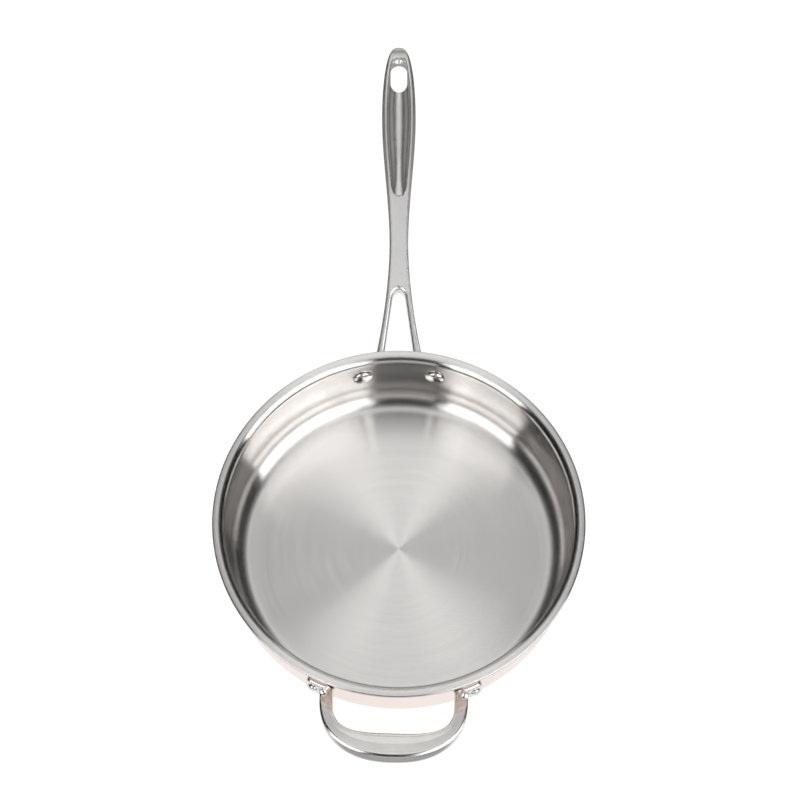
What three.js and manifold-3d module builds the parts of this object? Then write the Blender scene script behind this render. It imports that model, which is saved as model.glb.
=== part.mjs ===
// A saute pan: a body drawn from three bonded sheets, with a flared pouring lip, a forked long handle
// and a loop-shaped helper handle. Two rivets through the wall hold each handle.
// Millimetres, +Z up. The origin is on the pan's axis, at the underside of its base.
// The long handle points along +Y and the helper handle along -Y.

import * as THREE from 'three';
import { mergeVertices } from 'three/addons/utils/BufferGeometryUtils.js';
import Module from 'manifold-3d';

const wasm = await Module();
wasm.setup();

// Body: three sheets, measured from the inside surface outwards.
const cavityRadius = 132.5;
const panHeight = 65;
const floorFillet = 16.5;
const linerThickness = 0.5;
const coreThickness = 1.6;
const copperThickness = 0.5;
const bondLine = 0.1;
const lipBend = 3.2; // radius under the lip, where the wall turns outwards
const lipFlat = 3.5; // level part of the lip, beyond its bend
const lipEdgeSquareness = 4;

// Rivets, and the clearances at their holes and seats.
const rivetHeadRadius = 7.8;
const rivetHeadHeight = 3.2;
const rivetShankRadius = 2.8;
const rivetTailRadius = 4.2;
const rivetTailHeight = 2.2;
const holeClearance = 0.3;
const seatGap = 0.3;

// Ears: the pads at the handles' roots, curved to the wall.
const earHeight = 21;
const earThickness = 4.5;
const earEnd = 7; // beyond the rivet's axis
const earSquareness = 3;

// Long handle. Its stations are measured outwards from the wall, or back from its tip.
const handleRivetsBelowRim = 22.4;
const handleRivetGap = 5.4; // between a leg's outer side and the rivet's tail
const handleReach = 258.5;
const handleRise = 60; // of the top line, from the root to the tip
const archPower = 1.42; // how soon the top line levels out
const forkGap = 26.2; // between the legs, at the wall
const legWidth = 7.3; // at the wall
const crotchGap = 8.4;
const crotchFromWall = 59.5;
const crotchRound = 5;
const forkSweep = 1.8; // how the legs' outer sides curve in to the neck
const neckFromWall = 95;
const neckWidth = 14.8;
const gripFromTip = 61;
const gripWidth = 27;
const endSquareness = 2.5; // how full the grip's plan is, from its widest station to the tip
const endRound = 16; // over which its depth closes at the tip
const rootDepth = 12;
const neckDepth = 9;
const gripDepth = 13;
const endDepth = 9.5;

// The scooped channel in the grip, and the hanging hole at its end.
const channelStartFromTip = 126.4;
const channelEndFromTip = 10.5;
const channelRim = 4.2;
const channelDepth = 5;
const channelStartRound = 9; // over which its neck end narrows
const channelEndRound = 3.5; // over which its tip end narrows
const channelRamp = 40; // over which it deepens from its neck end
const hangingHoleFromTip = 26.2;
const hangingHoleWidth = 13.2;
const hangingHoleLength = 25;

// Helper handle: a loop between an inner and an outer superellipse, both centred at the wall.
const helperTurn = THREE.MathUtils.degToRad(1.6); // off the long handle's line
const helperRivetsBelowRim = 31;
const helperRivetGap = 1.2;
const helperGap = 90.4; // between the legs
const helperLegWidth = 10.6;
const fingerGap = 26.6; // from the wall to the bar
const barWidth = 21.9;
const innerSquareness = 3.4;
const outerSquareness = 2.3;
const helperRise = 2;
const helperDepth = 10.5;

// Cast section: a flat top with soft edges over a rounded belly.
const topSquareness = 8;
const bellySquareness = 2.6;
const waistShare = 0.4;

// Facets.
const bodySegments = 60;
const filletSteps = 4;
const bendSteps = 3;
const rivetSegments = 16;
const domeSteps = 4;
const sectionSides = 16;
const seatSegments = 120;
const outlineSegments = 6; // in each arc of a cut's outline
const endTrim = 0.04; // share of a rounded end left flat, so that its last ring keeps a size
const weldDistance = 1e-4;

// Sizes that follow from the driving dimensions.
const sheet = linerThickness + coreThickness + copperThickness + 2 * bondLine;
const wallRadius = cavityRadius + sheet;
const bendCentre = wallRadius + lipBend;
const rimRadius = bendCentre + lipFlat;
const floorRadius = cavityRadius - floorFillet;
const seatRadius = wallRadius + seatGap;
const earFaceRadius = seatRadius + earThickness;
const handleRivetHeight = panHeight - handleRivetsBelowRim;
const helperRivetHeight = panHeight - helperRivetsBelowRim;
const forkHalf = forkGap / 2 + legWidth;
const gripFromWall = handleReach - gripFromTip;
const helperHalf = helperGap / 2 + helperLegWidth;
const overcut = 10; // how far a cutting shape stands clear of what it cuts

// Azimuths are turned from +Y towards +X.
const handleRivetAngle = Math.asin((forkHalf + handleRivetGap + rivetTailRadius) / earFaceRadius);
const handleLegAngle = Math.asin((forkHalf - legWidth / 2) / wallRadius);
const helperRivetAngle = Math.PI - Math.asin((helperHalf + helperRivetGap + rivetTailRadius) / earFaceRadius);
const helperLegAngle = Math.PI - Math.asin((helperHalf - helperLegWidth / 2) / wallRadius);

const rivetPlaces = {
  handle_rivet_left: [-handleRivetAngle, handleRivetHeight],
  handle_rivet_right: [handleRivetAngle, handleRivetHeight],
  helper_rivet_left: [helperTurn - helperRivetAngle, helperRivetHeight],
  helper_rivet_right: [helperTurn + helperRivetAngle, helperRivetHeight],
};

const { lerp, smoothstep, clamp } = THREE.MathUtils;

// Solids and surfaces

function toSolid(geometry) {
  const bare = new THREE.BufferGeometry();
  bare.setAttribute('position', geometry.getAttribute('position'));
  bare.setIndex(geometry.getIndex());
  const merged = mergeVertices(bare, weldDistance);
  const corners = merged.getIndex().array;
  const triVerts = [];
  for (let i = 0; i < corners.length; i += 3) {
    const [a, b, c] = corners.slice(i, i + 3);
    if (a !== b && b !== c && c !== a) {
      triVerts.push(a, b, c);
    }
  }
  const vertProperties = new Float32Array(merged.getAttribute('position').array);
  const mesh = new wasm.Mesh({ numProp: 3, vertProperties, triVerts: new Uint32Array(triVerts) });
  return new wasm.Manifold(mesh);
}

function toGeometry(solid) {
  const { vertProperties, triVerts } = solid.getMesh();
  const geometry = new THREE.BufferGeometry();
  geometry.setAttribute('position', new THREE.BufferAttribute(new Float32Array(vertProperties), 3));
  geometry.setIndex(Array.from(triVerts));
  geometry.computeVertexNormals();
  return geometry;
}

// A closed skin over a row of convex rings with equal numbers of points, flat at both ends.
function loft(rings) {
  const sides = rings[0].length;
  const index = [];
  for (let i = 0; i < rings.length - 1; i += 1) {
    for (let k = 0; k < sides; k += 1) {
      const here = i * sides + k;
      const beside = i * sides + ((k + 1) % sides);
      index.push(here, here + sides, beside, here + sides, beside + sides, beside);
    }
  }
  const last = (rings.length - 1) * sides;
  for (let k = 1; k < sides - 1; k += 1) {
    index.push(0, k, k + 1, last, last + k + 1, last + k);
  }
  const geometry = new THREE.BufferGeometry().setFromPoints(rings.flat());
  geometry.setIndex(index);
  return geometry;
}

// A geometry with its local Y axis turned to an azimuth of the pan, at a height.
function aimed(geometry, azimuth, height) {
  return geometry.rotateZ(-azimuth).translate(0, 0, height);
}

// An upright cylinder on the pan's axis, taller than everything it meets.
function axisCylinder(radius) {
  const height = 2 * (panHeight + overcut);
  return toSolid(new THREE.CylinderGeometry(radius, radius, height, seatSegments).rotateX(Math.PI / 2));
}

// A vertical bar with a given plan outline, tall enough to cut through the long handle.
function plumbCut(shape) {
  const depth = panHeight + handleRise + 2 * overcut;
  const options = { depth, bevelEnabled: false, curveSegments: outlineSegments };
  return toSolid(new THREE.ExtrudeGeometry(shape, options));
}

// Share of the full width at a distance from an elliptical end.
function roundedEnd(distance, length) {
  const inward = 1 - clamp(distance / length, 0, 1);
  return Math.sqrt(1 - inward * inward);
}

function signedPower(value, squareness) {
  return Math.sign(value) * Math.abs(value) ** (2 / squareness);
}

// Cast section with its top at y = 0, as points around x and y.
function castSection(halfWidth, depth) {
  const waist = depth * waistShare;
  const points = [];
  for (let k = 0; k < sectionSides; k += 1) {
    const angle = (2 * Math.PI * k) / sectionSides;
    const upper = Math.sin(angle) >= 0;
    const squareness = upper ? topSquareness : bellySquareness;
    const x = halfWidth * signedPower(Math.cos(angle), squareness);
    const y = (upper ? waist : depth - waist) * signedPower(Math.sin(angle), squareness) - waist;
    points.push(new THREE.Vector2(x, y));
  }
  return points;
}

// Body

function addArc(points, x, y, radius, start, end, steps) {
  for (let k = 0; k <= steps; k += 1) {
    const angle = lerp(start, end, k / steps);
    points.push(new THREE.Vector2(x + radius * Math.cos(angle), y + radius * Math.sin(angle)));
  }
}

// A point on the rounded edge of the lip, at a depth below its top.
function lipEdge(depth) {
  const half = sheet / 2;
  const offMiddle = Math.min(Math.abs(1 - depth / half), 1);
  const reach = half * (1 - offMiddle ** lipEdgeSquareness) ** (1 / lipEdgeSquareness);
  return new THREE.Vector2(rimRadius - half + reach, panHeight - depth);
}

// Half section of the body at a depth under its inside surface, from the axis to the lip's edge.
function bodyLine(depth) {
  const points = [new THREE.Vector2(0, sheet - depth)];
  addArc(points, floorRadius, sheet + floorFillet, floorFillet + depth, -Math.PI / 2, 0, filletSteps);
  const bendInside = lipBend + sheet;
  addArc(points, bendCentre, panHeight - bendInside, bendInside - depth, Math.PI, Math.PI / 2, bendSteps);
  points.push(lipEdge(depth));
  return points;
}

// One sheet of the body between two depths, with a hole for each rivet.
function bodySheet(start, thickness) {
  const end = start + thickness;
  const profile = [...bodyLine(end), lipEdge((start + end) / 2), ...bodyLine(start).reverse()];
  const turned = toSolid(new THREE.LatheGeometry(profile, bodySegments).rotateX(Math.PI / 2));
  return toGeometry(cutRivetHoles(turned, Object.values(rivetPlaces)));
}

// Rivets

function cutRivetHoles(solid, places) {
  const radius = rivetShankRadius + holeClearance;
  const length = earFaceRadius - cavityRadius + 2 * overcut;
  return places.reduce((cut, [azimuth, height]) => {
    const drill = new THREE.CylinderGeometry(radius, radius, length, rivetSegments);
    drill.translate(0, (cavityRadius + earFaceRadius) / 2, 0);
    return cut.subtract(toSolid(aimed(drill, azimuth, height)));
  }, solid);
}

// A domed head inside the pan, a shank through wall and ear, and an upset tail outside.
// The local Y axis is the rivet's, measured from the pan's axis.
function rivetGeometry() {
  const headSeat = Math.sqrt(cavityRadius ** 2 - rivetHeadRadius ** 2) - seatGap;
  const tailSeat = earFaceRadius + seatGap;
  const profile = [];
  for (let k = 0; k <= domeSteps; k += 1) {
    const angle = (k / domeSteps) * (Math.PI / 2);
    profile.push(new THREE.Vector2(rivetHeadRadius * Math.sin(angle), headSeat - rivetHeadHeight * Math.cos(angle)));
  }
  profile[0].x = 0;
  profile.push(new THREE.Vector2(rivetShankRadius, headSeat), new THREE.Vector2(rivetShankRadius, tailSeat));
  for (let k = domeSteps; k >= 0; k -= 1) {
    const angle = (k / domeSteps) * (Math.PI / 2);
    profile.push(new THREE.Vector2(rivetTailRadius * Math.sin(angle), tailSeat + rivetTailHeight * Math.cos(angle)));
  }
  return toGeometry(toSolid(new THREE.LatheGeometry(profile, rivetSegments)));
}

// Handles

// A pad on the wall around a rivet, running to the middle of the leg that carries it.
function ear(rivetAngle, legAngle, height) {
  const toLeg = wallRadius * Math.sin(legAngle - rivetAngle);
  const steps = 10;
  const outline = [new THREE.Vector2(toLeg, -earHeight / 2)];
  for (let k = 0; k <= steps; k += 1) {
    const angle = (k / steps - 0.5) * Math.PI;
    const x = -Math.sign(toLeg) * earEnd * signedPower(Math.cos(angle), earSquareness);
    outline.push(new THREE.Vector2(x, (earHeight / 2) * signedPower(Math.sin(angle), earSquareness)));
  }
  outline.push(new THREE.Vector2(toLeg, earHeight / 2));
  const depth = earThickness + 2 * overcut;
  const pad = new THREE.ExtrudeGeometry(new THREE.Shape(outline), { depth, bevelEnabled: false });
  pad.rotateX(Math.PI / 2).translate(0, earFaceRadius + overcut, 0);
  return toSolid(aimed(pad, rivetAngle, height)).intersect(axisCylinder(earFaceRadius));
}

// A handle's bar with its two ears, seated on the wall and drilled for its rivets.
function riveted(bar, rivetAngle, legAngle, height) {
  const joined = bar.add(ear(-rivetAngle, -legAngle, height)).add(ear(rivetAngle, legAngle, height));
  const seated = joined.subtract(axisCylinder(seatRadius));
  return cutRivetHoles(seated, [[-rivetAngle, height], [rivetAngle, height]]);
}

function handleHalfWidth(station) {
  if (station < neckFromWall) {
    return lerp(neckWidth / 2, forkHalf, (1 - station / neckFromWall) ** forkSweep);
  }
  if (station < gripFromWall) {
    return lerp(neckWidth / 2, gripWidth / 2, smoothstep(station, neckFromWall, gripFromWall));
  }
  const past = (station - gripFromWall) / gripFromTip;
  return (gripWidth / 2) * (1 - past * past) ** (1 / endSquareness);
}

function handleDepth(station) {
  const forked = lerp(rootDepth, neckDepth, smoothstep(station, 0, neckFromWall));
  const grown = lerp(0, gripDepth - neckDepth, smoothstep(station, neckFromWall, gripFromWall));
  const thinned = lerp(0, gripDepth - endDepth, smoothstep(station, gripFromWall, handleReach));
  return forked + grown - thinned;
}

// Height of the handle's top line, an arch that levels out towards the tip.
function handleTop(station) {
  const left = 1 - clamp(station / handleReach, 0, 1);
  return handleRivetHeight + rootDepth / 2 + handleRise * (1 - left ** archPower);
}

function handleRing(station) {
  const fullDepth = handleDepth(station);
  const depth = fullDepth * roundedEnd(handleReach - station, endRound);
  const top = handleTop(station) - (fullDepth - depth) / 2;
  const section = castSection(handleHalfWidth(station), depth);
  return section.map((p) => new THREE.Vector3(p.x, wallRadius + station, top + p.y));
}

function handleBar() {
  const straightSteps = 24;
  const endSteps = 5;
  const start = Math.sqrt(wallRadius ** 2 - forkHalf ** 2) - wallRadius - earThickness;
  const rings = [];
  for (let k = 0; k <= straightSteps; k += 1) {
    rings.push(handleRing(lerp(start, handleReach - endRound, k / straightSteps)));
  }
  for (let k = 1; k <= endSteps; k += 1) {
    const angle = (k / endSteps) * (1 - endTrim) * (Math.PI / 2);
    rings.push(handleRing(handleReach - endRound + endRound * Math.sin(angle)));
  }
  return toSolid(loft(rings));
}

// The gap between the legs, narrowing to a round arch at the crotch.
function forkCut() {
  const steps = 12;
  const side = [];
  for (let k = 0; k <= steps; k += 1) {
    const station = lerp(-overcut, crotchFromWall, Math.sin((k / steps) * (Math.PI / 2)));
    const half = lerp(forkGap / 2, crotchGap / 2, station / crotchFromWall);
    const x = half * roundedEnd(crotchFromWall - station, crotchRound);
    side.push(new THREE.Vector2(x, wallRadius + station));
  }
  const mirrored = side.slice(0, -1).reverse().map((p) => new THREE.Vector2(-p.x, p.y));
  return plumbCut(new THREE.Shape([...side, ...mirrored]));
}

// The scooped channel: a half ellipse under the grip's top line, inside a rim of even width.
// It ramps down gently from the neck.
function channelRing(station, start, end) {
  const tip = roundedEnd(end - station, channelEndRound);
  const round = Math.min(roundedEnd(station - start, channelStartRound), tip);
  const half = (handleHalfWidth(station) - channelRim) * round;
  const shallow = 1 - clamp((station - start) / channelRamp, 0, 1);
  const depth = channelDepth * Math.min(1 - shallow * shallow, tip);
  const sides = 10;
  const points = [];
  for (let k = 0; k <= sides; k += 1) {
    const angle = Math.PI + (k / sides) * Math.PI;
    const z = handleTop(station) + depth * Math.sin(angle);
    points.push(new THREE.Vector3(half * Math.cos(angle), wallRadius + station, z));
  }
  const above = handleTop(station) + overcut;
  points.push(new THREE.Vector3(half, wallRadius + station, above));
  points.push(new THREE.Vector3(-half, wallRadius + station, above));
  return points;
}

function channelCut() {
  const start = handleReach - channelStartFromTip;
  const end = handleReach - channelEndFromTip;
  const steps = 16;
  const rings = [];
  for (let k = 0; k <= steps; k += 1) {
    const angle = lerp(endTrim, 1 - endTrim, k / steps) * Math.PI;
    const station = (start + end) / 2 - ((end - start) / 2) * Math.cos(angle);
    rings.push(channelRing(station, start, end));
  }
  return toSolid(loft(rings));
}

function hangingHoleCut() {
  const radius = hangingHoleWidth / 2;
  const centre = wallRadius + handleReach - hangingHoleFromTip;
  const straight = hangingHoleLength / 2 - radius;
  const outline = new THREE.Shape();
  outline.absarc(0, centre + straight, radius, 0, Math.PI);
  outline.absarc(0, centre - straight, radius, Math.PI, 2 * Math.PI);
  return plumbCut(outline);
}

function longHandle() {
  const forked = handleBar().subtract(forkCut());
  const scooped = forked.subtract(channelCut()).subtract(hangingHoleCut());
  return toGeometry(riveted(scooped, handleRivetAngle, handleLegAngle, handleRivetHeight));
}

// Distance from the loop's centre to a superellipse, in a direction of the plan.
function loopRadius(angle, halfWidth, reach, squareness) {
  const across = Math.abs(Math.cos(angle) / halfWidth) ** squareness;
  const along = Math.abs(Math.sin(angle) / reach) ** squareness;
  return (across + along) ** (-1 / squareness);
}

// A ring of the loop between two distances from its centre, in a direction of the plan.
function helperRing(inner, outer, angle, legLength) {
  const section = castSection((outer - inner) / 2, helperDepth);
  const middle = (inner + outer) / 2;
  const lift = (helperRise * middle * Math.sin(angle)) / (fingerGap + barWidth);
  const top = helperRivetHeight + helperDepth / 2 + lift;
  return section.map((p) => {
    const x = (middle + p.x) * Math.cos(angle);
    const y = legLength - wallRadius - (middle + p.x) * Math.sin(angle);
    return new THREE.Vector3(x, y, top + p.y);
  });
}

function helperHandle() {
  const steps = 24;
  const innerHalf = helperGap / 2;
  const outerReach = fingerGap + barWidth;
  const legLength = wallRadius - Math.sqrt(wallRadius ** 2 - helperHalf ** 2) + earThickness;
  const rings = [helperRing(innerHalf, helperHalf, Math.PI, legLength)];
  for (let k = 0; k <= steps; k += 1) {
    const angle = Math.PI * (1 - k / steps);
    const inner = loopRadius(angle, innerHalf, fingerGap, innerSquareness);
    const outer = loopRadius(angle, helperHalf, outerReach, outerSquareness);
    rings.push(helperRing(inner, outer, angle, 0));
  }
  rings.push(helperRing(innerHalf, helperHalf, 0, legLength));
  const loop = toSolid(loft(rings));
  return toGeometry(riveted(loop, helperRivetAngle, helperLegAngle, helperRivetHeight));
}

// Finishes and assembly

const brushedSteel = new THREE.MeshStandardMaterial({ color: 0xc6c3be, roughness: 0.34, metalness: 1 });
const aluminium = new THREE.MeshStandardMaterial({ color: 0xb4b6b8, roughness: 0.5, metalness: 1 });
const copper = new THREE.MeshStandardMaterial({ color: 0xdb9673, roughness: 0.12, metalness: 1 });
const castSteel = new THREE.MeshStandardMaterial({ color: 0xcbc9c5, roughness: 0.22, metalness: 1 });
const polishedSteel = new THREE.MeshStandardMaterial({ color: 0xd8d7d5, roughness: 0.08, metalness: 1 });

const pan = new THREE.Group();

function place(name, geometry, material) {
  const mesh = new THREE.Mesh(geometry, material);
  mesh.name = name;
  pan.add(mesh);
  return mesh;
}

const coreStart = linerThickness + bondLine;
const copperStart = coreStart + coreThickness + bondLine;
place('steel_liner', bodySheet(0, linerThickness), brushedSteel);
place('aluminium_core', bodySheet(coreStart, coreThickness), aluminium);
place('copper_shell', bodySheet(copperStart, copperThickness), copper);
place('long_handle', longHandle(), castSteel);
place('helper_handle', helperHandle(), castSteel).rotation.z = -helperTurn;

for (const [name, [azimuth, height]] of Object.entries(rivetPlaces)) {
  const rivet = place(name, rivetGeometry(), polishedSteel);
  rivet.rotation.z = -azimuth;
  rivet.position.z = height;
}

export default pan;
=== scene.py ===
"""Looks of a saute pan: a body of three bonded sheets, a forked long handle, a loop-shaped helper handle
and their rivets, each piece as a smooth mesh in the place of its CAD node. Sizes are in millimetres."""

import itertools
import math

import bmesh
import bpy
import numpy as np
from mathutils import Matrix, Vector


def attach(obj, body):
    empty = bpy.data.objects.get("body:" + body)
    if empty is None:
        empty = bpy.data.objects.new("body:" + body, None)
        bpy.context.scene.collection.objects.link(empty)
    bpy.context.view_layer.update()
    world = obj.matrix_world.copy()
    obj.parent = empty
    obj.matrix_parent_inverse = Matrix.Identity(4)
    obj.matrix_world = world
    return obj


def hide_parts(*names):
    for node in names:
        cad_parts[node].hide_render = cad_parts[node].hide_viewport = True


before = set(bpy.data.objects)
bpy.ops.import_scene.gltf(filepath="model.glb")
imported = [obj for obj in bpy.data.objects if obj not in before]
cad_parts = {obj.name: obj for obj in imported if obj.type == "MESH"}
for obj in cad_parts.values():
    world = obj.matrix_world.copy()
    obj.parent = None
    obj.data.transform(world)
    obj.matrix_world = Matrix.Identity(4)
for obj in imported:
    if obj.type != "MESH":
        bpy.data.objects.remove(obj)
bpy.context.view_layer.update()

MM = 0.001

# Body: three sheets, measured from the inside surface outwards.
CAVITY_RADIUS = 132.5
PAN_HEIGHT = 65
FLOOR_FILLET = 16.5
LINER_THICKNESS = 0.5
CORE_THICKNESS = 1.6
COPPER_THICKNESS = 0.5
BOND_LINE = 0.1
LIP_BEND = 3.2
LIP_FLAT = 3.5
LIP_EDGE_SQUARENESS = 4

# Rivets, their clearances, and the ears at the handles' roots.
RIVET_HEAD_RADIUS = 7.8
RIVET_HEAD_HEIGHT = 3.2
RIVET_SHANK_RADIUS = 2.8
RIVET_TAIL_RADIUS = 4.2
RIVET_TAIL_HEIGHT = 2.2
HOLE_CLEARANCE = 0.3
SEAT_GAP = 0.3
EAR_HEIGHT = 21
EAR_THICKNESS = 4.5
EAR_END = 7
EAR_SQUARENESS = 3

# Long handle. Its stations are measured outwards from the wall, or back from its tip.
HANDLE_RIVET_HEIGHT = PAN_HEIGHT - 22.4
HANDLE_RIVET_GAP = 5.4
HANDLE_REACH = 258.5
HANDLE_RISE = 60
ARCH_POWER = 1.42
FORK_GAP = 26.2
LEG_WIDTH = 7.3
CROTCH_GAP = 8.4
CROTCH_FROM_WALL = 59.5
CROTCH_ROUND = 5
FORK_SWEEP = 1.8
NECK_FROM_WALL = 95
NECK_WIDTH = 14.8
GRIP_FROM_TIP = 61
GRIP_WIDTH = 27
END_SQUARENESS = 2.5
END_ROUND = 16
ROOT_DEPTH = 12
NECK_DEPTH = 9
GRIP_DEPTH = 13
END_DEPTH = 9.5
CHANNEL_START_FROM_TIP = 126.4
CHANNEL_END_FROM_TIP = 10.5
CHANNEL_RIM = 4.2
CHANNEL_DEPTH = 5
CHANNEL_START_ROUND = 9
CHANNEL_END_ROUND = 3.5
CHANNEL_RAMP = 40
HANGING_HOLE_FROM_TIP = 26.2
HANGING_HOLE_WIDTH = 13.2
HANGING_HOLE_LENGTH = 25

# Helper handle: a loop between an inner and an outer superellipse, both centred at the wall.
HELPER_TURN = math.radians(1.6)
HELPER_RIVET_HEIGHT = PAN_HEIGHT - 31
HELPER_RIVET_GAP = 1.2
HELPER_GAP = 90.4
HELPER_LEG_WIDTH = 10.6
FINGER_GAP = 26.6
BAR_WIDTH = 21.9
INNER_SQUARENESS = 3.4
OUTER_SQUARENESS = 2.3
HELPER_RISE = 2
HELPER_DEPTH = 10.5

# The helper's broad bar has a leaning inner band and a rolled front edge. Starts are shares of its half
# width, and the roll's length turns its slope into a distance. The form fades out towards the legs,
# between two sines of the angle round the loop.
LEAN_START = 0.25
LEAN_SLOPE = 0.16
LEAN_ROUND = 1.5
ROLL_START = 0.6
ROLL_SLOPE = 1.5
ROLL_LENGTH = 1.8
ROLL_ROUND = 1.6
LEG_SINE = 0.05
BAR_SINE = 0.85

# Cast section: a flat top with soft edges over a rounded belly.
TOP_SQUARENESS = 8
BELLY_SQUARENESS = 2.6
WAIST_SHARE = 0.4

# Softened edges and blends of the cast handles.
EAR_EDGE = 2.4
EAR_BLEND = 5
SEAT_EDGE = 0.4
RIVET_HOLE_EDGE = 0.4
FORK_EDGE = 3.0
CHANNEL_EDGE = 0.8
HANGING_HOLE_EDGE = 0.9

# Fineness of the turned meshes.
BODY_SEGMENTS = 256
RIVET_SEGMENTS = 64
DRILL_SEGMENTS = 32
FLOOR_STEPS = 12
FILLET_STEPS = 16
WALL_STEPS = 16
BEND_STEPS = 10
EDGE_STEPS = 8
DOME_STEPS = 16
DRILL_OVERRUN = 10
SHARP_ANGLE = math.radians(40)

# Grids that the cast meshes are found on. They start a little nearer to the pan's axis than a handle does.
HANDLE_GRID_START = 125
HANDLE_GRID_STEP = 0.7
HELPER_GRID_START = 110
HELPER_GRID_STEP = 0.6
GRID_MARGIN = 2
GRID_BLOCK = 6
NEAR_BLOCKS = 1.5
SLOPE_WIDTH = 0.02
SETTLE_ROUNDS = 4
DRAWS_PER_ROUND = 2

# Smallest values, which keep divisions safe.
LEAST_SIZE = 0.02
LEAST_CHANNEL = 0.1
LEAST_SLOPE = 0.1
LEAST_NORM = 1e-6
TINY = 1e-9

# Heights between which the liner turns from the floor's satin to the sleeker wall and back at the lip, and
# how much less rough the wall is.
SATIN_FLOOR_TOP = 3
SLEEK_WALL_FOOT = 20
SLEEK_WALL_TOP = 62.5
SATIN_LIP_FOOT = 64.5
SLEEKER_BY = 0.07

# Depths of the marks that brushing, polishing and wear leave.
BRUSH_MARKS = 0.0004
POLISHING_MARKS = 0.004
WEAR_MARKS = 0.002

# Noise runs from about the first to the second of these values.
NOISE_LOW = 0.3
NOISE_HIGH = 0.7

# Sockets of a Mix node that mixes colours.
MIX_FIRST = 6
MIX_SECOND = 7
MIX_RESULT = 2

# Floor and table, in metres. The table's glow falls off between two distances from the pan's axis.
FLOOR_HALF = 6.0
FLOOR_GREY = (0.1, 0.1, 0.1, 1)
FLOOR_ROUGHNESS = 0.9
WHITE = (1, 1, 1, 1)
FLOOR_GLOW = 1.0
TABLE_NEAR = 0.19
TABLE_FAR = 0.27
TABLE_GLOW_NEAR = 0.83
TABLE_GLOW_FAR = 0.3

# Camera: its place, aim and range in metres, its lens and sensor in millimetres.
CAMERA_PLACE = Vector((0.0009, -0.7883, 1.9995))
CAMERA_AIM = Vector((0.0009, 0.1291, 0))
CAMERA_LENS = 123.57
CAMERA_SENSOR = 36
CAMERA_RANGE = 100

# Sizes that follow from these.
SHEET = LINER_THICKNESS + CORE_THICKNESS + COPPER_THICKNESS + 2 * BOND_LINE
CORE_START = LINER_THICKNESS + BOND_LINE
COPPER_START = CORE_START + CORE_THICKNESS + BOND_LINE
WALL_RADIUS = CAVITY_RADIUS + SHEET
BEND_CENTRE = WALL_RADIUS + LIP_BEND
BEND_INSIDE = LIP_BEND + SHEET
RIM_RADIUS = BEND_CENTRE + LIP_FLAT
FLOOR_RADIUS = CAVITY_RADIUS - FLOOR_FILLET
SEAT_RADIUS = WALL_RADIUS + SEAT_GAP
EAR_FACE_RADIUS = SEAT_RADIUS + EAR_THICKNESS
RIVET_HOLE_RADIUS = RIVET_SHANK_RADIUS + HOLE_CLEARANCE
FORK_HALF = FORK_GAP / 2 + LEG_WIDTH
HANDLE_RIVET_ACROSS = FORK_HALF + HANDLE_RIVET_GAP + RIVET_TAIL_RADIUS
GRIP_FROM_WALL = HANDLE_REACH - GRIP_FROM_TIP
HELPER_HALF = HELPER_GAP / 2 + HELPER_LEG_WIDTH
HELPER_RIVET_ACROSS = HELPER_HALF + HELPER_RIVET_GAP + RIVET_TAIL_RADIUS
HELPER_REACH = FINGER_GAP + BAR_WIDTH

# Azimuths are turned from +Y towards +X.
HANDLE_RIVET_ANGLE = math.asin(HANDLE_RIVET_ACROSS / EAR_FACE_RADIUS)
HANDLE_LEG_ANGLE = math.asin((FORK_HALF - LEG_WIDTH / 2) / WALL_RADIUS)
HELPER_RIVET_ANGLE = math.asin(HELPER_RIVET_ACROSS / EAR_FACE_RADIUS)
HELPER_LEG_ANGLE = math.asin((HELPER_HALF - HELPER_LEG_WIDTH / 2) / WALL_RADIUS)
RIVET_PLACES = {
    "handle_rivet_left": (-HANDLE_RIVET_ANGLE, HANDLE_RIVET_HEIGHT),
    "handle_rivet_right": (HANDLE_RIVET_ANGLE, HANDLE_RIVET_HEIGHT),
    "helper_rivet_left": (HELPER_TURN - math.pi + HELPER_RIVET_ANGLE, HELPER_RIVET_HEIGHT),
    "helper_rivet_right": (HELPER_TURN + math.pi - HELPER_RIVET_ANGLE, HELPER_RIVET_HEIGHT),
}


# Meshes

def mesh_piece(name, points, faces):
    """A smooth-shaded object of points in millimetres."""
    mesh = bpy.data.meshes.new(name)
    mesh.from_pydata(np.asarray(points, float) * MM, [], faces)
    mesh.shade_smooth()
    piece = bpy.data.objects.new(name, mesh)
    bpy.context.scene.collection.objects.link(piece)
    return piece


def lathe(name, profile, segments):
    """A profile of (radius, height) points that starts and ends on the Z axis, turned round it."""
    turns = np.linspace(0, 2 * math.pi, segments, endpoint=False)
    points = [(0, 0, profile[0][1]), (0, 0, profile[-1][1])]
    for radius, height in profile[1:-1]:
        points.extend((radius * math.cos(t), radius * math.sin(t), height) for t in turns)
    rings = np.arange(2, len(points)).reshape(-1, segments)
    faces = []
    for k in range(segments):
        after = (k + 1) % segments
        faces.append((0, rings[0][after], rings[0][k]))
        for low, high in zip(rings[:-1], rings[1:]):
            faces.append((low[k], low[after], high[after], high[k]))
        faces.append((rings[-1][k], rings[-1][after], 1))
    return mesh_piece(name, points, faces)


def cut(piece, tool):
    """Takes one mesh out of another, and removes the tool."""
    difference = piece.modifiers.new("cut", "BOOLEAN")
    difference.object = tool
    difference.solver = "EXACT"
    evaluated = piece.evaluated_get(bpy.context.evaluated_depsgraph_get())
    mesh = bpy.data.meshes.new_from_object(evaluated)
    piece.modifiers.clear()
    piece.data = mesh
    bpy.data.objects.remove(tool)


def arc(x, z, radius, start, end, steps):
    """Points round a centre, between two angles in degrees."""
    angles = np.radians(np.linspace(start, end, steps + 1))
    return [(x + radius * math.cos(a), z + radius * math.sin(a)) for a in angles]


# Smooth solids from distance fields, which are negative inside

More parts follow.
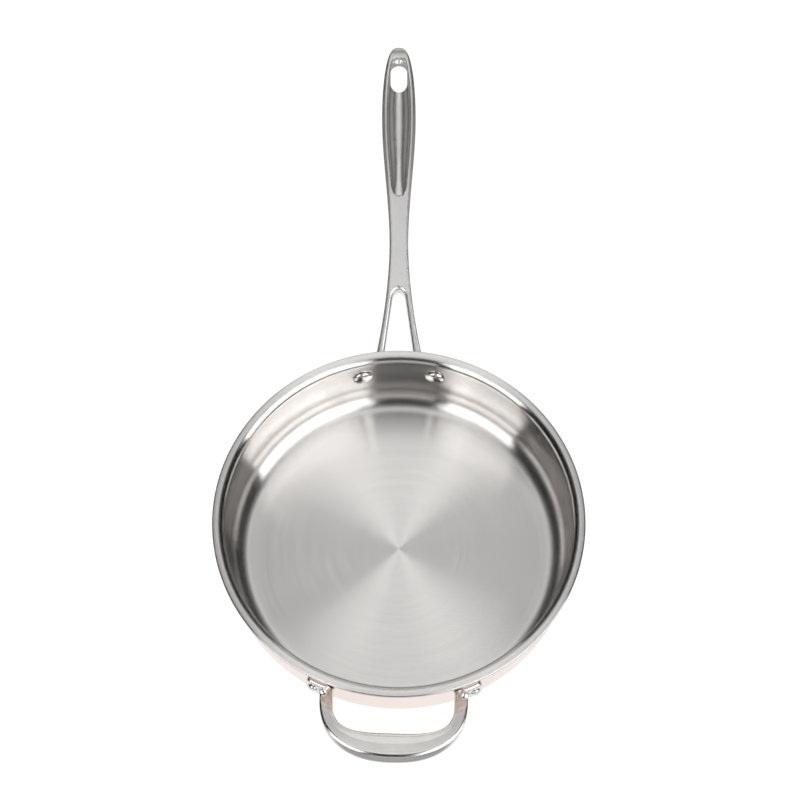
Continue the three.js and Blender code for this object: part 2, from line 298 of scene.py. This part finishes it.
def smooth_max(a, b, round_off):
    """The larger of two distances, with the edge between them rounded off."""
    share = np.clip(0.5 + 0.5 * (a - b) / round_off, 0, 1)
    return b + (a - b) * share + round_off * share * (1 - share)


def smooth_min(a, b, fillet):
    """The smaller of two distances, with a fillet in the corner between them."""
    return -smooth_max(-a, -b, fillet)


def ellipse_distance(u, v, half_u, half_v, power=2.0):
    """About the distance from a superellipse centred at zero."""
    u = np.abs(u) / half_u
    v = np.abs(v) / half_v
    norm = np.maximum((u**power + v**power) ** (1 / power), LEAST_NORM)
    slope = np.hypot((u / norm) ** (power - 1) / half_u, (v / norm) ** (power - 1) / half_v)
    return (norm - 1) / slope


def grid_values(field, low, high, step):
    """A field's values on a grid. Blocks that lie well off the zero surface share one coarse value."""
    block = GRID_BLOCK
    counts = np.ceil((np.subtract(high, low) / step + 1) / block).astype(int)
    middles = [start + (np.arange(n) + 0.5) * block * step for start, n in zip(low, counts)]
    coarse = field(*np.meshgrid(*middles, indexing="ij"))
    values = coarse.repeat(block, 0).repeat(block, 1).repeat(block, 2)
    near = np.abs(values) < NEAR_BLOCKS * block * step
    values[near] = field(*(np.asarray(low)[:, None] + step * np.argwhere(near).T))
    return values


def surface_net(field, low, high, step):
    """Points and quads of a field's zero surface, one point in each grid cell that it crosses."""
    values = grid_values(field, low, high, step)
    inside = values < 0
    shape = np.array(values.shape) - 1
    corners = [np.array(c) for c in itertools.product((0, 1), repeat=3)]
    count = np.zeros(shape, np.int8)
    for x, y, z in corners:
        count += inside[x:x + shape[0], y:y + shape[1], z:z + shape[2]]
    mixed = (count > 0) & (count < len(corners))
    cells = np.argwhere(mixed)
    number = np.full(shape, -1)
    number[mixed] = np.arange(len(cells))
    total = np.zeros((len(cells), 3))
    crossings = np.zeros((len(cells), 1))
    for a, b in itertools.combinations(corners, 2):
        if np.abs(a - b).sum() == 1:
            start = values[tuple((cells + a).T)]
            end = values[tuple((cells + b).T)]
            crossed = ((start < 0) != (end < 0))[:, None]
            share = (start / np.where(start == end, 1, start - end))[:, None]
            total += crossed * (a + share * (b - a))
            crossings += crossed
    points = np.asarray(low) + step * (cells + total / crossings)
    quads = []
    for axis in range(3):
        u, v = np.eye(3, dtype=int)[[(axis + 1) % 3, (axis + 2) % 3]]
        leaves = np.diff(inside.astype(np.int8), axis=axis)
        for sign in (-1, 1):
            edge = np.argwhere(leaves == sign)
            ring = [edge - u - v, edge - v, edge, edge - u][::-sign]
            quads.append(np.stack([number[tuple(cell.T)] for cell in ring], axis=1))
    return points, np.concatenate(quads)


def gradient(field, points):
    """A field's slope along each axis, at points."""
    slopes = []
    for axis in np.eye(3) * SLOPE_WIDTH:
        slopes.append(field(*(points + axis).T) - field(*(points - axis).T))
    return np.stack(slopes, axis=1) / (2 * SLOPE_WIDTH)


def settle(field, points, quads, step):
    """Evens out a net's points and draws them on to the field's zero surface."""
    ends = np.concatenate([np.roll(quads, -k, axis=1)[:, :2] for k in range(4)])
    degree = np.bincount(ends[:, 0], minlength=len(points))[:, None]
    for _ in range(SETTLE_ROUNDS):
        sums = [np.bincount(ends[:, 0], points[ends[:, 1], k], len(points)) for k in range(3)]
        points = 0.5 * points + 0.5 * np.stack(sums, axis=1) / degree
        for _ in range(DRAWS_PER_ROUND):
            slope = gradient(field, points)
            move = (field(*points.T) / np.maximum((slope**2).sum(1), LEAST_SLOPE))[:, None] * slope
            length = np.linalg.norm(move, axis=1, keepdims=True)
            points = points - move * np.minimum(1, step / np.maximum(length, TINY))
    return points


def cast_piece(name, field, low, high, step, turn=0.0):
    """A smooth piece from a field, turned about the pan's axis."""
    points, quads = surface_net(field, low, high, step)
    points = settle(field, points, quads, step)
    normals = gradient(field, points)
    normals /= np.linalg.norm(normals, axis=1, keepdims=True)
    spin = np.array(Matrix.Rotation(turn, 3, "Z")).T
    piece = mesh_piece(name, points @ spin, quads.tolist())
    piece.data.normals_split_custom_set_from_vertices((normals @ spin).tolist())
    return piece


# Body

def lip_edge(depth):
    """A point on the rounded edge of the lip, at a depth below its top."""
    half = SHEET / 2
    off_middle = min(abs(1 - depth / half), 1)
    reach = half * (1 - off_middle**LIP_EDGE_SQUARENESS) ** (1 / LIP_EDGE_SQUARENESS)
    return (RIM_RADIUS - half + reach, PAN_HEIGHT - depth)


def body_line(depth):
    """Half section of the body at a depth under its inside surface, from the axis to the lip's edge."""
    floor = [(r, SHEET - depth) for r in np.linspace(0, FLOOR_RADIUS, FLOOR_STEPS, endpoint=False)]
    fillet = arc(FLOOR_RADIUS, SHEET + FLOOR_FILLET, FLOOR_FILLET + depth, -90, 0, FILLET_STEPS)
    bend = arc(BEND_CENTRE, PAN_HEIGHT - BEND_INSIDE, BEND_INSIDE - depth, 180, 90, BEND_STEPS)
    heights = np.linspace(fillet[-1][1], bend[0][1], WALL_STEPS + 1)[1:-1]
    wall = [(CAVITY_RADIUS + depth, z) for z in heights]
    return [*floor, *fillet, *wall, *bend, lip_edge(depth)]


def rivet_turn(azimuth, height):
    """The place of a rivet whose own axis is Z, measured from the pan's axis outwards."""
    stand = Matrix.Rotation(-math.pi / 2, 4, "X")
    return Matrix.Translation((0, 0, height * MM)) @ Matrix.Rotation(-azimuth, 4, "Z") @ stand


def rivet_drills():
    """Four cylinders through the wall, one at each rivet, as one object."""
    radius = RIVET_HOLE_RADIUS
    start = CAVITY_RADIUS - DRILL_OVERRUN
    end = EAR_FACE_RADIUS + DRILL_OVERRUN
    profile = [(0, start), (radius, start), (radius, end), (0, end)]
    drills = lathe("rivet_drills", profile, DRILL_SEGMENTS)
    tools = bmesh.new()
    for azimuth, height in RIVET_PLACES.values():
        drill = drills.data.copy()
        drill.transform(rivet_turn(azimuth, height))
        tools.from_mesh(drill)
    tools.to_mesh(drills.data)
    tools.free()
    return drills


def body_sheet(name, start, thickness):
    """One sheet of the body between two depths, with a hole for each rivet."""
    end = start + thickness
    shares = (1 + np.cos(np.linspace(0, math.pi, EDGE_STEPS + 1))) / 2
    edge = [lip_edge(start + thickness * share) for share in shares[1:-1]]
    sheet = lathe(name, [*body_line(end), *edge, *body_line(start)[::-1]], BODY_SEGMENTS)
    cut(sheet, rivet_drills())
    sheet.data.set_sharp_from_angle(angle=SHARP_ANGLE)
    return sheet


def dome(radius, seat, height, angles):
    """Quarter of an ellipse over a seat, with its crown where the angle is zero."""
    return [(radius * math.sin(a), seat + height * math.cos(a)) for a in angles]


def rivet(name, azimuth, height):
    """A domed head inside the pan, a shank through wall and ear, and an upset tail outside."""
    head_seat = math.sqrt(CAVITY_RADIUS**2 - RIVET_HEAD_RADIUS**2) - SEAT_GAP
    tail_seat = EAR_FACE_RADIUS + SEAT_GAP
    angles = np.linspace(0, math.pi / 2, DOME_STEPS + 1)
    head = dome(RIVET_HEAD_RADIUS, head_seat, -RIVET_HEAD_HEIGHT, angles)
    shank = [(RIVET_SHANK_RADIUS, head_seat), (RIVET_SHANK_RADIUS, tail_seat)]
    tail = dome(RIVET_TAIL_RADIUS, tail_seat, RIVET_TAIL_HEIGHT, angles[::-1])
    piece = lathe(name, [*head, *shank, *tail], RIVET_SEGMENTS)
    piece.data.transform(rivet_turn(azimuth, height))
    piece.data.set_sharp_from_angle(angle=SHARP_ANGLE)
    return piece


# Handles

def rounded_end(distance, length):
    """Share of the full width at a distance from an elliptical end."""
    inward = 1 - np.clip(distance / length, 0, 1)
    return np.sqrt(1 - inward * inward)


def ease(value, start, end):
    """Rises smoothly from 0 to 1 between two values."""
    share = np.clip((value - start) / (end - start), 0, 1)
    return share * share * (3 - 2 * share)


def mix(start, end, share):
    return start + (end - start) * share


def section_distance(across, rise, half_width, depth):
    """Distance from a cast section whose top is at zero rise."""
    waist = depth * WAIST_SHARE
    up = rise + waist
    upper = ellipse_distance(across, up, half_width, waist, TOP_SQUARENESS)
    lower = ellipse_distance(across, up, half_width, depth - waist, BELLY_SQUARENESS)
    return np.where(up >= 0, upper, lower)


def ear_distance(x, y, z, rivet_angle, leg_angle, height):
    """Distance from a pad on the wall around a rivet, running to the middle of the leg beside it."""
    to_leg = WALL_RADIUS * math.sin(leg_angle - rivet_angle)
    along = (x * math.cos(rivet_angle) - y * math.sin(rivet_angle)) * math.copysign(1, to_leg)
    rise = z - height
    end = ellipse_distance(np.minimum(along, 0), rise, EAR_END, EAR_HEIGHT / 2, EAR_SQUARENESS)
    outline = np.maximum(end, along - abs(to_leg))
    return smooth_max(outline, np.hypot(x, y) - EAR_FACE_RADIUS, EAR_EDGE)


def seated(bar, x, y, z, rivet_angle, leg_angle, height):
    """A handle's bar with its two ears, seated on the wall and drilled for its rivets."""
    for side in (-1, 1):
        pad = ear_distance(x, y, z, side * rivet_angle, side * leg_angle, height)
        bar = smooth_min(bar, pad, EAR_BLEND)
    bar = smooth_max(bar, SEAT_RADIUS - np.hypot(x, y), SEAT_EDGE)
    for side in (-1, 1):
        across = x * math.cos(rivet_angle) - side * y * math.sin(rivet_angle)
        hole = np.hypot(across, z - height) - RIVET_HOLE_RADIUS
        bar = smooth_max(bar, -hole, RIVET_HOLE_EDGE)
    return bar


def handle_half_width(station):
    """Half the long handle's width, from the spread fork through the neck to the rounded tip."""
    fork = mix(NECK_WIDTH / 2, FORK_HALF, np.clip(1 - station / NECK_FROM_WALL, 0, None) ** FORK_SWEEP)
    grip = mix(NECK_WIDTH / 2, GRIP_WIDTH / 2, ease(station, NECK_FROM_WALL, GRIP_FROM_WALL))
    past = np.clip((station - GRIP_FROM_WALL) / GRIP_FROM_TIP, 0, 1)
    end = GRIP_WIDTH / 2 * (1 - past * past) ** (1 / END_SQUARENESS)
    rear = np.where(station < GRIP_FROM_WALL, grip, end)
    return np.where(station < NECK_FROM_WALL, fork, rear)


def handle_depth(station):
    forked = mix(ROOT_DEPTH, NECK_DEPTH, ease(station, 0, NECK_FROM_WALL))
    grown = mix(0, GRIP_DEPTH - NECK_DEPTH, ease(station, NECK_FROM_WALL, GRIP_FROM_WALL))
    thinned = mix(0, GRIP_DEPTH - END_DEPTH, ease(station, GRIP_FROM_WALL, HANDLE_REACH))
    return forked + grown - thinned


def handle_top(station):
    """Height of the long handle's top line, which arches up from the wall."""
    left = 1 - np.clip(station / HANDLE_REACH, 0, 1)
    return HANDLE_RIVET_HEIGHT + ROOT_DEPTH / 2 + HANDLE_RISE * (1 - left**ARCH_POWER)


def handle_bar(x, station, z):
    """The long handle's bar before its gap, channel and hole are cut."""
    full = handle_depth(station)
    close = np.maximum(rounded_end(HANDLE_REACH - station, END_ROUND), LEAST_SIZE)
    depth = full * close
    half = np.maximum(handle_half_width(station), LEAST_SIZE)
    top = handle_top(station) - (full - depth) / 2
    return np.maximum(section_distance(x, z - top, half, depth), station - HANDLE_REACH)


def fork_gap(x, station):
    """The gap between the fork's legs, which narrows to a rounded crotch."""
    half = mix(FORK_GAP / 2, CROTCH_GAP / 2, np.clip(station / CROTCH_FROM_WALL, -1, 1))
    past = station - (CROTCH_FROM_WALL - CROTCH_ROUND)
    arch = ellipse_distance(x, past, half, CROTCH_ROUND)
    return np.where(past > 0, arch, np.abs(x) - half)


def channel(x, station, z):
    """The scooped channel: a half ellipse under the grip's top line, inside a rim of even width."""
    start = HANDLE_REACH - CHANNEL_START_FROM_TIP
    end = HANDLE_REACH - CHANNEL_END_FROM_TIP
    tip = rounded_end(end - station, CHANNEL_END_ROUND)
    shape = np.maximum(np.minimum(rounded_end(station - start, CHANNEL_START_ROUND), tip), LEAST_SIZE)
    half = np.maximum(handle_half_width(station) - CHANNEL_RIM, LEAST_CHANNEL) * shape
    shallow = 1 - np.clip((station - start) / CHANNEL_RAMP, 0, 1)
    depth = CHANNEL_DEPTH * np.maximum(np.minimum(1 - shallow * shallow, tip), LEAST_SIZE)
    under = np.minimum(z - handle_top(station), 0)
    scoop = ellipse_distance(x, under, half, depth)
    return np.maximum(scoop, np.maximum(start - station, station - end))


def hanging_hole(x, station):
    """A slot with round ends through the grip."""
    radius = HANGING_HOLE_WIDTH / 2
    past = np.abs(station - HANDLE_REACH + HANGING_HOLE_FROM_TIP) - (HANGING_HOLE_LENGTH / 2 - radius)
    return np.hypot(x, np.maximum(past, 0)) - radius


def long_handle_field(x, y, z):
    station = y - WALL_RADIUS
    bar = handle_bar(x, station, z)
    bar = smooth_max(bar, -fork_gap(x, station), FORK_EDGE)
    bar = smooth_max(bar, -channel(x, station, z), CHANNEL_EDGE)
    bar = smooth_max(bar, -hanging_hole(x, station), HANGING_HOLE_EDGE)
    return seated(bar, x, y, z, HANDLE_RIVET_ANGLE, HANDLE_LEG_ANGLE, HANDLE_RIVET_HEIGHT)


def loop_radius(angle, half_width, reach, squareness):
    """Distance from the loop's centre to a superellipse, in a direction of the plan."""
    across = np.abs(np.cos(angle) / half_width) ** squareness
    along = np.abs(np.sin(angle) / reach) ** squareness
    return (across + along) ** (-1 / squareness)


def helper_field(x, y, z):
    """The helper handle turned to point along +Y, before it is put in its place."""
    reach = np.maximum(y - WALL_RADIUS, 0)
    angle = np.arctan2(reach, np.abs(x) + TINY)
    inner = loop_radius(angle, HELPER_GAP / 2, FINGER_GAP, INNER_SQUARENESS)
    outer = loop_radius(angle, HELPER_HALF, HELPER_REACH, OUTER_SQUARENESS)
    middle = (inner + outer) / 2
    half = (outer - inner) / 2
    across = np.hypot(x, reach) - middle
    lift = HELPER_RISE * middle * np.sin(angle) / HELPER_REACH
    rise = z - HELPER_RIVET_HEIGHT - HELPER_DEPTH / 2 - lift
    bar = section_distance(across, rise, half, HELPER_DEPTH)
    lean = rise + LEAN_SLOPE * np.minimum(across + LEAN_START * half, 0)
    roll = (rise + ROLL_SLOPE * (across - ROLL_START * half)) / ROLL_LENGTH
    shaped = smooth_max(smooth_max(bar, lean, LEAN_ROUND), roll, ROLL_ROUND)
    bar = mix(bar, shaped, ease(np.sin(angle), LEG_SINE, BAR_SINE))
    return seated(bar, x, y, z, HELPER_RIVET_ANGLE, HELPER_LEG_ANGLE, HELPER_RIVET_HEIGHT)


def long_handle():
    reach = HANDLE_RIVET_ACROSS + EAR_END
    bottom = HANDLE_RIVET_HEIGHT - EAR_HEIGHT / 2
    top = HANDLE_RIVET_HEIGHT + ROOT_DEPTH / 2 + HANDLE_RISE
    low = (-reach, HANDLE_GRID_START, bottom - GRID_MARGIN)
    high = (reach, WALL_RADIUS + HANDLE_REACH + GRID_MARGIN, top + GRID_MARGIN)
    return cast_piece("long_handle_cast", long_handle_field, low, high, HANDLE_GRID_STEP)


def helper_handle():
    reach = HELPER_RIVET_ACROSS + EAR_END + GRID_MARGIN
    bottom = HELPER_RIVET_HEIGHT - EAR_HEIGHT / 2
    top = HELPER_RIVET_HEIGHT + EAR_HEIGHT
    low = (-reach, HELPER_GRID_START, bottom - GRID_MARGIN)
    high = (reach, WALL_RADIUS + HELPER_REACH + GRID_MARGIN, top)
    turn = math.pi - HELPER_TURN
    return cast_piece("helper_handle_cast", helper_field, low, high, HELPER_GRID_STEP, turn)


# Shader nodes

def add_node(tree, kind, inputs=(), **settings):
    """A node with its settings, and its inputs given as (socket, value or output to link)."""
    node = tree.nodes.new(kind)
    for key, value in settings.items():
        setattr(node, key, value)
    for socket, value in inputs:
        if isinstance(value, bpy.types.NodeSocket):
            tree.links.new(value, node.inputs[socket])
        else:
            node.inputs[socket].default_value = value
    return node


def object_place(tree):
    return add_node(tree, "ShaderNodeTexCoord").outputs["Object"]


def height_of(tree, place):
    return add_node(tree, "ShaderNodeSeparateXYZ", [(0, place)]).outputs["Z"]


def vector_math(tree, operation, inputs, output="Vector"):
    return add_node(tree, "ShaderNodeVectorMath", inputs, operation=operation).outputs[output]


def scaled(tree, vector, scale):
    return vector_math(tree, "SCALE", [(0, vector), ("Scale", scale)])


def number_math(tree, operation, first, second):
    return add_node(tree, "ShaderNodeMath", [(0, first), (1, second)], operation=operation).outputs[0]


def map_range(tree, value, start, end, low, high, **settings):
    """A value carried over from one range to another, and held at its ends."""
    inputs = [("Value", value), ("From Min", start), ("From Max", end), ("To Min", low), ("To Max", high)]
    return add_node(tree, "ShaderNodeMapRange", inputs, **settings).outputs["Result"]


def ring_coordinates(tree, fineness, turn_scale):
    """Coordinates that run fast along the body's section and slowly round its axis."""
    place = object_place(tree)
    flat = vector_math(tree, "MULTIPLY", [(0, place), (1, (1, 1, 0))])
    radius = vector_math(tree, "LENGTH", [(0, flat)], output="Value")
    along = number_math(tree, "ADD", radius, height_of(tree, place))
    fine = number_math(tree, "MULTIPLY", along, fineness)
    slow = scaled(tree, vector_math(tree, "NORMALIZE", [(0, flat)]), turn_scale)
    lift = add_node(tree, "ShaderNodeCombineXYZ", [("Z", fine)]).outputs[0]
    return vector_math(tree, "ADD", [(0, slow), (1, lift)])


def noise(tree, vector, detail, roughness=0.5):
    inputs = [("Vector", vector), ("Scale", 1.0), ("Detail", detail), ("Roughness", roughness)]
    return add_node(tree, "ShaderNodeTexNoise", inputs).outputs["Fac"]


def spread(tree, value, low, high):
    """A noise value stretched to a range."""
    return map_range(tree, value, NOISE_LOW, NOISE_HIGH, low, high)


# Finishes

def metal(name, color, roughness, anisotropy=0.0):
    """A metal material of one look, with its tree and its shader for what varies."""
    material = bpy.data.materials.new(name)
    material.use_nodes = True
    tree = material.node_tree
    shader = tree.nodes["Principled BSDF"]
    shader.inputs["Base Color"].default_value = (*color, 1)
    shader.inputs["Metallic"].default_value = 1
    shader.inputs["Roughness"].default_value = roughness
    shader.inputs["Anisotropic"].default_value = anisotropy
    return material, tree, shader


def tinted(tree, shader, value, dark, light):
    """Colours a metal between two tints by a noise value."""
    share = spread(tree, value, low=0, high=1)
    inputs = [("Factor", share), (MIX_FIRST, (*dark, 1)), (MIX_SECOND, (*light, 1))]
    tint = add_node(tree, "ShaderNodeMix", inputs, data_type="RGBA")
    tree.links.new(tint.outputs[MIX_RESULT], shader.inputs["Base Color"])


def roughened(tree, shader, value, smooth, rough):
    """Varies a metal's roughness by a noise value."""
    tree.links.new(spread(tree, value, smooth, rough), shader.inputs["Roughness"])


def bumped(tree, shader, value, depth):
    """Marks of a depth in millimetres, by a noise value."""
    inputs = [("Height", value), ("Strength", 1.0), ("Distance", depth * MM)]
    bump = add_node(tree, "ShaderNodeBump", inputs)
    tree.links.new(bump.outputs["Normal"], shader.inputs["Normal"])


def brushed_steel():
    """Stainless steel with rings of fine brush marks, satin on the floor and lip and sleeker on the wall."""
    material, tree, shader = metal("brushed_steel", (0.76, 0.75, 0.73), roughness=0.27, anisotropy=1.0)
    bands = noise(tree, ring_coordinates(tree, fineness=260, turn_scale=1.2), detail=4, roughness=0.6)
    lines = noise(tree, ring_coordinates(tree, fineness=2600, turn_scale=1.5), detail=3, roughness=0.6)
    tinted(tree, shader, bands, dark=(0.765, 0.745, 0.728), light=(0.80, 0.78, 0.763))
    height = height_of(tree, object_place(tree))
    sleek = map_range(tree, height, SATIN_FLOOR_TOP * MM, SLEEK_WALL_FOOT * MM, 0, -SLEEKER_BY)
    satin = map_range(tree, height, SLEEK_WALL_TOP * MM, SATIN_LIP_FOOT * MM, 0, SLEEKER_BY)
    worn = number_math(tree, "ADD", satin, sleek)
    rough = number_math(tree, "ADD", worn, spread(tree, lines, low=0.205, high=0.23))
    tree.links.new(rough, shader.inputs["Roughness"])
    bumped(tree, shader, lines, BRUSH_MARKS)
    tangent = add_node(tree, "ShaderNodeTangent", direction_type="RADIAL", axis="Z")
    tree.links.new(tangent.outputs[0], shader.inputs["Tangent"])
    quarter_turn = 0.25
    shader.inputs["Anisotropic Rotation"].default_value = quarter_turn
    return material


def glare_paled_copper():
    """Polished copper, with faint buffing rings and slightly darker clouds, painted much paler than copper: a
    painted sheen for the glare of the bright floor that it mirrors.
    """
    # Painted sheen: the base colour and the cloud tints below are paler than copper, standing in for the
    # bright floor's glare.
    material, tree, shader = metal("glare_paled_copper", (0.93, 0.81, 0.75), roughness=0.09)
    clouds = noise(tree, scaled(tree, object_place(tree), scale=28), detail=3)
    lines = noise(tree, ring_coordinates(tree, fineness=1500, turn_scale=3), detail=3, roughness=0.6)
    tinted(tree, shader, clouds, dark=(0.91, 0.785, 0.72), light=(0.95, 0.83, 0.775))
    roughened(tree, shader, lines, smooth=0.06, rough=0.13)
    bumped(tree, shader, lines, POLISHING_MARKS)
    return material


def sheet_aluminium():
    """Bare aluminium, as it shows in the cut edge of the lip."""
    material, tree, shader = metal("sheet_aluminium", (0.71, 0.71, 0.72), roughness=0.4)
    lines = noise(tree, ring_coordinates(tree, fineness=2000, turn_scale=4), detail=3, roughness=0.6)
    tinted(tree, shader, lines, dark=(0.64, 0.64, 0.65), light=(0.74, 0.74, 0.75))
    roughened(tree, shader, lines, smooth=0.34, rough=0.46)
    return material


def cast_steel(name, stretch, smooth, rough):
    """Cast stainless steel polished to a soft sheen, with faint polishing lines along the handle."""
    material, tree, shader = metal(name, (0.79, 0.78, 0.76), roughness=0.3)
    place = object_place(tree)
    lines = noise(tree, vector_math(tree, "MULTIPLY", [(0, place), (1, stretch)]), detail=3, roughness=0.6)
    clouds = noise(tree, scaled(tree, place, scale=60), detail=2)
    tinted(tree, shader, clouds, dark=(0.755, 0.742, 0.722), light=(0.81, 0.797, 0.777))
    roughened(tree, shader, lines, smooth, rough)
    bumped(tree, shader, lines, POLISHING_MARKS)
    return material


def polished_steel():
    """Bright stainless steel of the rivets, with faint wear."""
    material, tree, shader = metal("polished_steel", (0.82, 0.81, 0.79), roughness=0.07)
    wear = noise(tree, scaled(tree, object_place(tree), scale=700), detail=4, roughness=0.6)
    tinted(tree, shader, wear, dark=(0.78, 0.77, 0.75), light=(0.85, 0.84, 0.82))
    roughened(tree, shader, wear, smooth=0.05, rough=0.11)
    bumped(tree, shader, wear, WEAR_MARKS)
    return material


# Assembly

def fit(piece, node, material):
    """Puts a piece in the place of its CAD node."""
    piece.data.materials.clear()
    piece.data.materials.append(material)
    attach(piece, "root")
    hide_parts(node)


fit(body_sheet("liner_sheet", 0, LINER_THICKNESS), "steel_liner", brushed_steel())
fit(body_sheet("core_sheet", CORE_START, CORE_THICKNESS), "aluminium_core", sheet_aluminium())
fit(body_sheet("copper_sheet", COPPER_START, COPPER_THICKNESS), "copper_shell", glare_paled_copper())
handle = long_handle()
handle_steel = cast_steel("long_handle_steel", stretch=(900, 40, 900), smooth=0.27, rough=0.34)
fit(handle, "long_handle", handle_steel)
helper_steel = cast_steel("helper_handle_steel", stretch=(40, 900, 900), smooth=0.17, rough=0.22)
fit(helper_handle(), "helper_handle", helper_steel)
rivet_steel = polished_steel()
for node, (azimuth, height) in RIVET_PLACES.items():
    fit(rivet(node + "_domed", azimuth, height), node, rivet_steel)


# Floor, light and camera, in metres

def floor_plane(name, glow):
    """A level square under the pan that gives off its own light."""
    mesh = bpy.data.meshes.new(name)
    half = FLOOR_HALF
    corners = [(-half, -half, 0), (half, -half, 0), (half, half, 0), (-half, half, 0)]
    mesh.from_pydata(corners, [], [(0, 1, 2, 3)])
    floor = bpy.data.objects.new(name, mesh)
    bpy.context.scene.collection.objects.link(floor)
    material = bpy.data.materials.new(name)
    material.use_nodes = True
    shader = material.node_tree.nodes["Principled BSDF"]
    shader.inputs["Base Color"].default_value = FLOOR_GREY
    shader.inputs["Roughness"].default_value = FLOOR_ROUGHNESS
    shader.inputs["Emission Color"].default_value = WHITE
    shader.inputs["Emission Strength"].default_value = glow
    mesh.materials.append(material)
    return floor, material.node_tree, shader


def studio_floor():
    """A white floor for the camera, and the dimmer table that the metal mirrors, brightest round the pan."""
    floor, _, _ = floor_plane("studio_floor", FLOOR_GLOW)
    floor.visible_glossy = False
    table, tree, shader = floor_plane("studio_table", TABLE_GLOW_FAR)
    table.visible_camera = False
    radius = vector_math(tree, "LENGTH", [(0, object_place(tree))], output="Value")
    ends = (TABLE_NEAR, TABLE_FAR, TABLE_GLOW_NEAR, TABLE_GLOW_FAR)
    glow = map_range(tree, radius, *ends, interpolation_type="SMOOTHSTEP")
    tree.links.new(glow, shader.inputs["Emission Strength"])


def softbox(name, place, aim, size, radiance, roll=0.0, only=None):
    """A softbox of a width and height that stands at a place, faces a point and is rolled about that line, in
    degrees. The camera doesn't see it. It lights every piece, or only the one that is named."""
    light = bpy.data.lights.new(name, "AREA")
    light.shape = "RECTANGLE"
    light.size, light.size_y = size
    light.energy = radiance * math.pi * light.size * light.size_y
    lamp = bpy.data.objects.new(name, light)
    lamp.location = place
    facing = (Vector(aim) - Vector(place)).to_track_quat("-Z", "Y").to_matrix()
    lamp.rotation_euler = (facing @ Matrix.Rotation(math.radians(roll), 3, "Z")).to_euler()
    lamp.visible_camera = False
    if only:
        lamp.light_linking.receiver_collection = bpy.data.collections.new(name + "_lit")
        lamp.light_linking.receiver_collection.objects.link(only)
    bpy.context.scene.collection.objects.link(lamp)


def studio_light():
    """Large softboxes at both sides and overhead, cards round the set, and a low box at each side."""
    softbox("softbox_right", (0.872, -0.447, 1.266), (0.037, 0.075, 0), (1.07, 0.82), radiance=2.4)
    softbox("strip_right", (0.46, -1.14, 1.253), (-0.375, -0.618, 0), (0.95, 0.4), radiance=1.4, roll=45)
    softbox("softbox_left", (-0.797, -0.659, 1.266), (-0.017, 0.031, 0), (0.77, 0.82), radiance=1.9)
    softbox("strip_left", (-0.574, -1.005, 1.232), (0.206, -0.315, 0), (0.85, 0.3), radiance=1.0, roll=-61)
    softbox("softbox_top", (0, 0.05, 1.5), (0, 0.05, 0), (0.8, 0.6), radiance=0.97)
    softbox("softbox_rear", (0, 0.8, 1.5), (0, 0.8, 0), (0.6, 0.7), radiance=1.08)
    softbox("softbox_back", (0, 1.55, 1.5), (0, 1.55, 0), (1.2, 0.8), radiance=0.8)
    softbox("card_back", (0, 2.6, 0.7), (0, 0, 0.7), (2.6, 1.4), radiance=0.62)
    softbox("card_front", (0, -2.5, 0.6), (0, 0, 0.3), (1.6, 1.2), radiance=0.6)
    softbox("card_right", (1.19, 0.45, 1.17), (0, 0.35, 0.1), (1.0, 0.8), radiance=0.36, only=handle)
    softbox("card_left", (-1.19, 0.45, 1.17), (0, 0.35, 0.1), (1.0, 0.8), radiance=0.36, only=handle)
    softbox("low_right", (1.123, -0.994, 0.65), (0, 0, 0.03), (1.91, 0.66), radiance=2.5)
    softbox("low_left", (-1.033, -1.088, 0.65), (0, 0, 0.03), (1.0, 0.66), radiance=2.05)


def studio_world():
    """White surroundings for the camera alone, and colours shown as they are."""
    world = bpy.data.worlds.new("studio")
    world.use_nodes = True
    world.node_tree.nodes["Background"].inputs["Color"].default_value = WHITE
    world.cycles_visibility.diffuse = False
    world.cycles_visibility.glossy = False
    bpy.context.scene.world = world
    bpy.context.scene.view_settings.view_transform = "Standard"


def photo_camera():
    """The camera at the photograph's viewing angle."""
    camera = bpy.data.objects.new("camera", bpy.data.cameras.new("camera"))
    camera.data.lens = CAMERA_LENS
    camera.data.sensor_width = CAMERA_SENSOR
    camera.data.clip_end = CAMERA_RANGE
    camera.location = CAMERA_PLACE
    camera.rotation_euler = (CAMERA_AIM - CAMERA_PLACE).to_track_quat("-Z", "Y").to_euler()
    bpy.context.scene.collection.objects.link(camera)
    bpy.context.scene.camera = camera


studio_floor()
studio_light()
studio_world()
photo_camera()
